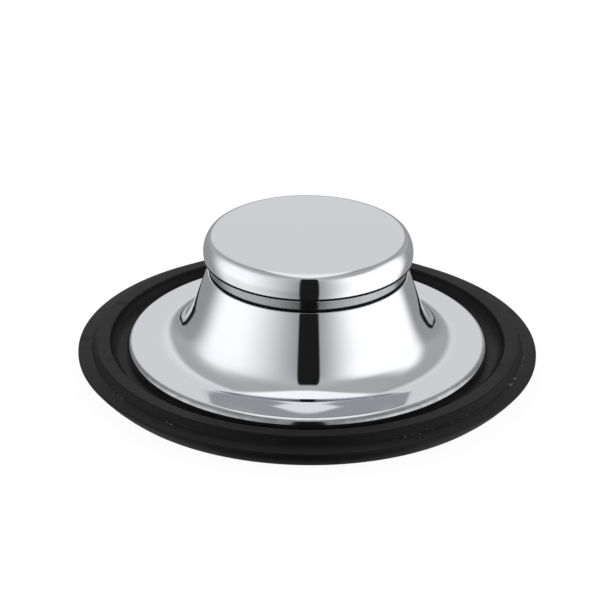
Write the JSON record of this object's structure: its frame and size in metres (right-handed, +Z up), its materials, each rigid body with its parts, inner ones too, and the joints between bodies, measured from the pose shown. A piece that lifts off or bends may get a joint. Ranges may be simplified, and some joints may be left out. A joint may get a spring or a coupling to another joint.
{
  "type": "drain stopper",
  "caption": "Round lift-out drain stopper: a polished knob and flared bell clamped over a black rubber ring that plugs a kitchen sink outlet.",
  "frame": {"origin": "on the stopper's axis, at the plane that the rubber ring rests on", "axes": "+Z up along the axis, from the rubber to the knob; +X and +Y are any two directions across it"},
  "size_m": [0.086, 0.086, 0.0279],
  "materials": {
    "polished_chrome": "mirror polished",
    "black_rubber": "satin moulded",
    "o_ring_rubber": "smooth",
    "cast_brass": "as cast and turned",
    "plain_steel": "plain stainless",
    "spring_steel": "plain spring steel"
  },
  "bodies": {
    "root": {"knob_cap": "polished_chrome", "neck_ring": "polished_chrome", "bell": "polished_chrome", "seal_ring": "black_rubber", "stem_o_ring": "o_ring_rubber", "knob_core": "cast_brass", "spacer_sleeve": "cast_brass", "centre_stud": "plain_steel", "clamp_plate": "plain_steel", "plate_washer": "plain_steel", "lock_washer": "spring_steel", "hex_nut": "plain_steel"}
  },
  "joints": []
}
